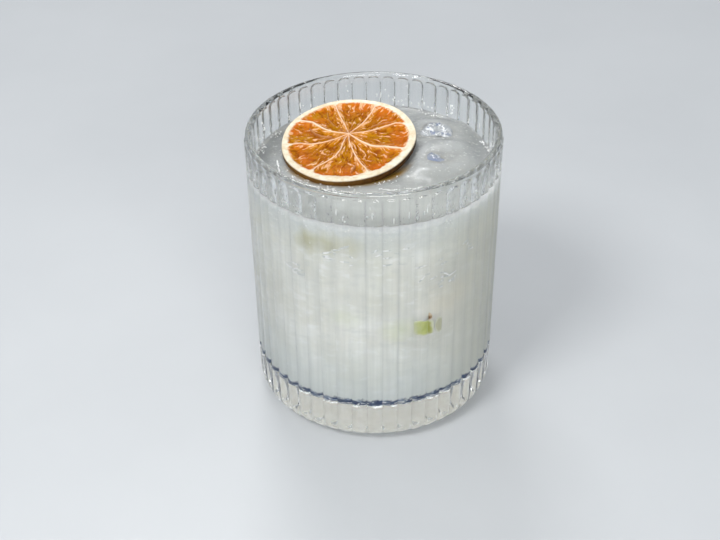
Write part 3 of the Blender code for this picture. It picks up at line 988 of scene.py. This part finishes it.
def add_flesh_row(skin, share):
    """A row of the flesh, which sinks away from the membranes and the pith with rounded corners."""
    reach = skin.rim - skin.pith_width - 0.0001
    distance = reach * share
    to_pith = reach - distance
    ridge, thick, nearest = membrane_marks(skin.angles, distance, share)
    fold = fold_marks(skin.angles, distance)
    room = -FLESH_ROUNDING * np.log(np.exp(-nearest / FLESH_ROUNDING) + np.exp(-to_pith / FLESH_ROUNDING))
    hollow = smoothstep(0.0, 0.0023, np.clip(room, 0, None))
    off_hub = min(1, share / 0.35)
    bowl = hollow * off_hub

    coarse = skin.waver(7, 4.0 * share)
    bend = 0.10 * skin.waver(6, 6.0 * share + 20)
    fibres = skin.waver(15, 6.5 * share + 3, bend)
    fine = skin.waver(36, 19.0 * share, bend)
    across = skin.waver(5, 14 * share + 8)
    crest = WHEEL_TOP - 0.00018 - 0.0003 * math.sin(math.pi * share)
    sink = (0.00095 + 0.00040 * coarse) * bowl
    relief = 0.00030 * fibres + 0.00020 * fine + 0.00014 * across
    flesh = crest - 0.00022 - sink + (0.35 + 0.65 * bowl) * relief
    raised = np.maximum(ridge, fold)
    height = np.minimum(flesh + (crest - flesh) * raised, WHEEL_TOP - 0.00004)

    # pale is lighter where the relief is high, a painted highlight, and near the membranes, where pale
    # skins lie.
    pale = np.clip(0.05 + 1.2 * fibres + 1.0 * fine + 0.4 * across + 0.45 * (1 - hollow) * off_hub, 0, 1)
    skin_width = 0.0006 + 0.0011 * np.clip(coarse + 0.5 * across + 0.1, 0, 1)
    folded = np.exp(-nearest / skin_width) * np.clip(0.55 + 2.2 * fine + 1.0 * fibres, 0, 1) * off_hub
    # The furrow shade is painted shade: darker where the relief is low.
    furrow = np.clip(0.1 - 1.3 * fibres - 1.2 * fine - 0.3 * across, 0, 1) * (1 - folded)
    fillet = 0.0012 * np.exp(-(nearest / 0.0007) ** 2)
    pith = 1 - smoothstep(0.0, 0.0006, to_pith + 0.0004 * fine - fillet)
    skin.add(distance, height, deep=hollow, radial=share,
             membrane=np.maximum(ridge, 0.45 * fold),
             fibre=np.maximum(pale, folded) * (1 - raised),
             furrow=furrow * (1 - raised),
             pith=np.maximum(0.85 * pith, 0.6 * thick * min(1, share / 0.5)))


def build_wheel(mat):
    skin = WheelSkin()
    add_underside(skin)
    add_pith_ring(skin)
    for share in np.linspace(0.988, 0.03, WHEEL_FLESH_ROWS):
        add_flesh_row(skin, float(share))
    low_hub = (*HUB_OFFSET, -WHEEL_TOP + WHEEL_UNDER_SUNK)
    verts, faces = closed_loft(skin.rows, low_hub, (*HUB_OFFSET, WHEEL_TOP - 0.0004))
    wheel = mesh_object("dried_citrus_slice", verts, faces, [mat])
    for key, values in skin.marks.items():
        at_hub = 1.0 if key == "membrane" else 0.0
        set_marks(wheel, key, np.concatenate(values + [[0.0, at_hub]]))
    normal = Vector((-WHEEL_RISE_RIGHT, -WHEEL_RISE_BACK, 1.0)).normalized()
    turn = Vector((0, 0, 1)).rotation_difference(normal).to_matrix().to_4x4()
    wheel.data.transform(Matrix.Translation(WHEEL_CENTRE) @ turn)
    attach(wheel, "root")
    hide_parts("dried_citrus_wheel")


# Sunk pieces

def wall_lump(bm, fades, degrees, height, half_sizes, seed, lean=0.0, soft_side=0.0, squareness=2.0,
              slant=0.0, faint=0.0, rim=(0.62, 0.86), detail=5):
    """Adds a rough lump that lies against the glass and shows as a shallow dome there.

    Its fade values go from faint in its middle to 1 at its rim, and further in from the left where
    soft_side says so. A slant lifts its right side and keeps its sides upright.
    """
    half_across, half_deep, half_up = half_sizes
    for vert in bmesh.ops.create_icosphere(bm, subdivisions=detail, radius=1.0)["verts"]:
        unit = vert.co.copy()
        rough = 1 + 0.22 * noise.noise(unit * 1.6 + Vector((seed, 0, 0)))
        rough += 0.07 * noise.noise(unit * 5.0 + Vector((0, seed, 0)))
        outline = math.hypot(unit.x, unit.z)
        corner = (abs(unit.x) ** squareness + abs(unit.z) ** squareness) ** (1 / squareness)
        rough *= outline / max(corner, 1e-6)
        across = unit.x * half_across * rough
        up = unit.z * half_up * rough + slant * across
        aside = across * math.cos(lean) - up * math.sin(lean)
        place_height = height + across * math.sin(lean) + up * math.cos(lean)
        wall = wall_radius(place_height) + WALL_REACH
        dome = 0.00012 * (1 - 1.3 * outline ** 2)
        radius = min(wall + half_deep * (unit.y * rough + 0.35), wall + dome)
        angle = math.radians(degrees) + aside / wall
        vert.co = Vector((radius * math.sin(angle), -radius * math.cos(angle), place_height))
        fade = max(faint, float(smoothstep(*rim, outline))) + max(0.0, -unit.x) * soft_side
        fades.append(min(1.0, fade))


def finish_lumps(name, bm, fades, mat):
    obj = object_from(bm, name, [mat])
    set_marks(obj, "fade", fades)
    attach(obj, "root")
    return obj


def build_sunk_lime(mat):
    """The lime piece's green part, the duller part right of it, and its brown-spotted tip."""
    bm, fades = bmesh.new(), []
    wall_lump(bm, fades, 23.9, 0.0441, (0.0040, 0.0012, 0.0036), 2.0, soft_side=0.5, squareness=4.5,
              slant=-0.20, rim=(0.55, 0.95))
    dull_start = len(bm.verts)
    wall_lump(bm, fades, 31.6, 0.0436, (0.0017, 0.0012, 0.0034), 5.0, slant=-0.20, faint=0.35,
              rim=(0.4, 0.95))
    tip_start = len(bm.verts)
    wall_lump(bm, fades, 26.5, 0.0478, (0.0015, 0.0012, 0.0017), 3.0, rim=(0.66, 0.92))
    piece = finish_lumps("sunk_lime_pieces", bm, fades, mat)
    places = np.array([vert.co for vert in piece.data.vertices])
    order = np.arange(len(places))
    on_tip = order >= tip_start
    off_spot = np.linalg.norm(places - np.array(wall_point(LIME_SPOT_TURN, 0.0475, 0.0)), axis=1)
    off_column = places[:, 0] - wall_point(LIME_SPOT_TURN, 0.0445, 0.0).x
    set_marks(piece, "right", np.exp(-(off_column / 0.0009) ** 2) * ~on_tip)
    set_marks(piece, "tip", on_tip)
    set_marks(piece, "dull", (order >= dull_start) & ~on_tip)
    set_marks(piece, "brown", np.exp(-(off_spot / 0.0007) ** 2) * on_tip)


def build_sunk_chips(mat):
    """Thin slivers of ice against the glass, in loose bundles."""
    bm, fades = bmesh.new(), []
    random = np.random.default_rng(31)
    for degrees, height, reach in CHIP_BUNDLES:
        for _ in range(CHIPS_IN_BUNDLE):
            across, up = random.uniform(-reach, reach, 2)
            half_sizes = (random.uniform(0.0008, 0.0022), 0.0010, random.uniform(0.00022, 0.00045))
            seed = random.uniform(0, 50)
            lean = random.uniform(-0.9, 0.9)
            turn = degrees + math.degrees(across / WELL_RADIUS)
            wall_lump(bm, fades, turn, height + 0.7 * up, half_sizes, seed, lean=lean, rim=(0.72, 0.95),
                      detail=3)
    finish_lumps("sunk_ice_chips", bm, fades, mat)


# Bubbles

class Bubbles:
    """Gathers small round bubbles into one mesh."""

    def __init__(self):
        bm = bmesh.new()
        bmesh.ops.create_icosphere(bm, subdivisions=2, radius=1.0)
        self.unit = np.array([vert.co for vert in bm.verts])
        self.unit_faces = np.array([[vert.index for vert in face.verts] for face in bm.faces])
        bm.free()
        self.verts = []
        self.faces = []

    def add(self, place, radius, squash=1.0):
        first = len(self.verts) * len(self.unit)
        self.verts.append(np.array(place) + self.unit * (radius, radius, radius * squash))
        self.faces.append(self.unit_faces + first)

    def finish(self, name, mat):
        obj = mesh_object(name, np.vstack(self.verts), np.vstack(self.faces).tolist(), [mat])
        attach(obj, "root")


def in_cluster(x, y, scale, level, least):
    """True where a place on the drink is clear of the wall and in a cluster of bubbles."""
    clear = math.hypot(x, y) <= wall_radius(DRINK_LEVEL) - 0.0008
    return clear and noise.noise((x * scale, y * scale, level)) >= least


def froth_at_wall(froth, random, count=420):
    """Clusters on the drink along the wall."""
    for _ in range(count):
        angle = math.radians(random.uniform(-180, 180))
        if ring_noise(3.5, angle, 2.0) < 0.02:
            continue
        radius = random.uniform(0.00010, 0.00034)
        inward = radius + abs(random.normal(0, 0.0007))
        height = DRINK_LEVEL + MENISCUS_RISE * math.exp(-inward / MENISCUS_FALL) + 0.3 * radius
        reach = wall_radius(DRINK_LEVEL) - inward
        froth.add(Vector((reach * math.sin(angle), -reach * math.cos(angle), height)), radius, 0.8)


def froth_below_edge(froth, random, count=900):
    """Bubbles against the glass just under the drink's edge."""
    for _ in range(count):
        degrees = random.uniform(-180, 180)
        depth = abs(random.normal(0, 0.0035))
        if ring_noise(6, math.radians(degrees), 300 * depth) < 0.10:
            continue
        radius = random.uniform(0.00008, 0.00022)
        froth.add(wall_point(degrees, DRINK_LEVEL - depth, -0.3 * radius), radius)


def froth_before_wheel(froth, random, count=260):
    """Clusters where the wheel's front edge meets the drink."""
    for _ in range(count):
        turn = math.radians(random.uniform(200, 345))
        out = float(wheel_outline(np.array(turn))) + random.uniform(-0.0002, 0.0030)
        x = WHEEL_CENTRE.x + out * math.cos(turn)
        y = WHEEL_CENTRE.y + out * math.sin(turn)
        if in_cluster(x, y, 260, 1.0, 0.05):
            radius = random.uniform(0.00008, 0.00026)
            froth.add(Vector((x, y, DRINK_LEVEL + 0.2 * radius)), radius, 0.7)


def froth_round_ice(froth, random, count=110):
    for centre, half_sizes, turns, _ in ICE_LUMPS.values():
        upright_turn = Matrix.Rotation(math.radians(turns[2]), 3, "Z")
        for _ in range(count):
            turn = random.uniform(0, 2 * math.pi)
            spread = 1.0 + abs(random.normal(0, 0.10))
            local = Vector((half_sizes.x * math.cos(turn), half_sizes.y * math.sin(turn), 0)) * spread
            local = upright_turn @ local
            x, y = centre.x + local.x, centre.y + local.y
            if in_cluster(x, y, 200, 5.0, 0.0):
                radius = random.uniform(0.00008, 0.00024)
                froth.add(Vector((x, y, DRINK_LEVEL + 0.0002)), radius, 0.8)


def drops_over_drink(froth, random, drop_count=230, run_count=36):
    """Droplets and short runs on the wall over the drink."""
    for _ in range(drop_count):
        degrees = random.uniform(-180, 180)
        height = DRINK_LEVEL + 0.001 + abs(random.normal(0, 0.0035))
        if height > REED_TOP - 0.002 or ring_noise(5, math.radians(degrees), 9.0) < 0.0:
            continue
        radius = random.uniform(0.00010, 0.00026)
        froth.add(wall_point(degrees, height, 0.3 * radius + WALL_REACH), radius, 1.5)
    for _ in range(run_count):
        degrees = random.uniform(-180, 180)
        length = random.uniform(0.0005, 0.0014)
        height = DRINK_LEVEL + 0.0015 + length + random.uniform(0, 0.003)
        froth.add(wall_point(degrees, height, WALL_REACH), RUN_RADIUS, length / RUN_RADIUS)


def froth_lines(froth, random, step=0.22, scatter=0.12):
    """Rows of bubbles along the froth lines, with the step and the scatter in mm."""
    for line in FROTH_LINES:
        for start, end in zip(line, line[1:]):
            for share in np.linspace(0, 1, int(math.dist(start, end) / step)):
                x = (start[0] + (end[0] - start[0]) * share + random.normal(0, scatter)) * 0.001
                y = (start[1] + (end[1] - start[1]) * share + random.normal(0, scatter)) * 0.001
                radius = random.uniform(0.00010, 0.00026)
                froth.add(Vector((x, y, DRINK_LEVEL + 0.0001)), radius, 0.7)


def build_froth(mat):
    """Small bubbles in clusters and lines on the drink, and droplets on the wall over it."""
    random = np.random.default_rng(11)
    froth = Bubbles()
    for add_some in (froth_at_wall, froth_below_edge, froth_before_wheel, froth_round_ice,
                     drops_over_drink, froth_lines):
        add_some(froth, random)
    froth.finish("froth_bubbles", mat)


def build_corner_bubbles(mat, count=560):
    """Glowing specks in the thick glass just under the drink's bottom corner, in short rows, as painted
    glints.
    """
    random = np.random.default_rng(23)
    caught = Bubbles()
    for _ in range(count):
        angle = random.uniform(-math.pi, math.pi)
        if ring_noise(9, angle, 3.0) < -0.05:
            continue
        radius = random.uniform(0.00012, 0.00034)
        beyond = WALL_REACH + random.uniform(0.0, 0.0005)
        turn = math.radians(random.uniform(64, 74))
        caught.add(level_ring(np.array([angle]), *corner_place(turn, beyond))[0], radius)
    caught.finish("glowing_corner_bubbles", mat)


# Room

def build_camera():
    """The photograph's camera, fitted to the rim, the sides and the foot."""
    distance, elevation, aim_height = 0.4693, math.radians(34.01), 0.045
    pitch, yaw, roll = math.radians(34.32), math.radians(-0.703), math.radians(-0.653)
    place = Vector((0, -distance * math.cos(elevation), distance * math.sin(elevation) + aim_height))
    ahead = Vector((math.sin(yaw) * math.cos(pitch), math.cos(yaw) * math.cos(pitch), -math.sin(pitch)))
    level_right = ahead.cross(Vector((0, 0, 1))).normalized()
    level_up = level_right.cross(ahead)
    right = level_right * math.cos(roll) + level_up * math.sin(roll)
    up = level_up * math.cos(roll) - level_right * math.sin(roll)
    data = bpy.data.cameras.new("camera")
    data.lens = 70.0
    data.sensor_width = 36.0
    data.clip_start = 0.01
    camera = bpy.data.objects.new("camera", data)
    bpy.context.scene.collection.objects.link(camera)
    turn = Matrix((right, up, -ahead)).transposed().to_4x4()
    camera.matrix_world = Matrix.Translation(place) @ turn
    bpy.context.scene.camera = camera


def area_light(name, place, aim, size, power, colour=(1, 1, 1)):
    data = bpy.data.lights.new(name, "AREA")
    data.shape = "RECTANGLE"
    data.size, data.size_y = size
    data.energy = power
    data.color = colour
    light = bpy.data.objects.new(name, data)
    bpy.context.scene.collection.objects.link(light)
    light.location = place
    light.rotation_mode = "QUATERNION"
    light.rotation_quaternion = (Vector(aim) - Vector(place)).to_track_quat("-Z", "Y")


def build_floor(mat):
    """A wide round floor just under the foot."""
    profile = [(FLOOR_REACH, FLOOR_UNDER)]
    profile += [(radius, FLOOR_TOP) for radius in (FLOOR_REACH, 1.5, 0.5, 0.2)]
    rings = level_rings(even_angles(96), profile)
    verts, faces = closed_loft(rings, (0, 0, FLOOR_UNDER), (0, 0, FLOOR_TOP))
    floor = mesh_object("floor", verts, faces, [mat], smooth=False)


def build_sky():
    """Soft white light, brighter from above."""
    world = bpy.data.worlds.new("soft_white")
    world.use_nodes = True
    tree = world.node_tree
    _, _, z = axes(tree, add_node(tree, "ShaderNodeTexCoord").outputs["Generated"])
    sky = ramp(tree, z, [
        (0.0, (0.30, 0.32, 0.35)),
        (0.35, (0.36, 0.38, 0.41)),
        (0.75, (0.86, 0.88, 0.90)),
        (1.0, (0.95, 0.96, 0.97)),
    ])
    feed_all(tree, tree.nodes["Background"], {"Color": sky, "Strength": 0.85})
    bpy.context.scene.world = world


def build_lights():
    area_light("key_left", (-0.42, -0.50, 0.85), (0, 0, 0.05), (0.30, 0.30), 6.0, (1.0, 0.995, 0.98))
    area_light("back", (-0.20, 0.75, 1.10), (0, 0, 0.08), (0.40, 0.30), 4.5)
    area_light("front", (0.22, -1.1, 0.45), (0, 0, 0.05), (0.7, 0.5), 9.0, (1.0, 0.99, 0.965))


build_camera()
build_glass(glass_material())
ice_look = ice_material()
for lump_name in ICE_LUMPS:
    build_ice(lump_name, ice_look)
build_drink([
    drink_body_material("cloudy_drink_body"),
    drink_surface_material(),
    drink_body_material("cloudy_drink_underside", 0.40),
    drink_body_material("cloudy_drink_pockets", 0.13),
])
build_wheel(wheel_material())
build_sunk_lime(lime_material())
build_sunk_chips(chip_material())
build_froth(bubble_material("froth_bubbles"))
# These bubbles glow, as painted glints.
build_corner_bubbles(bubble_material("glowing_corner_bubbles", 0.50))
build_floor(floor_material())
build_sky()
build_lights()
bpy.context.scene.view_settings.view_transform = "Standard"
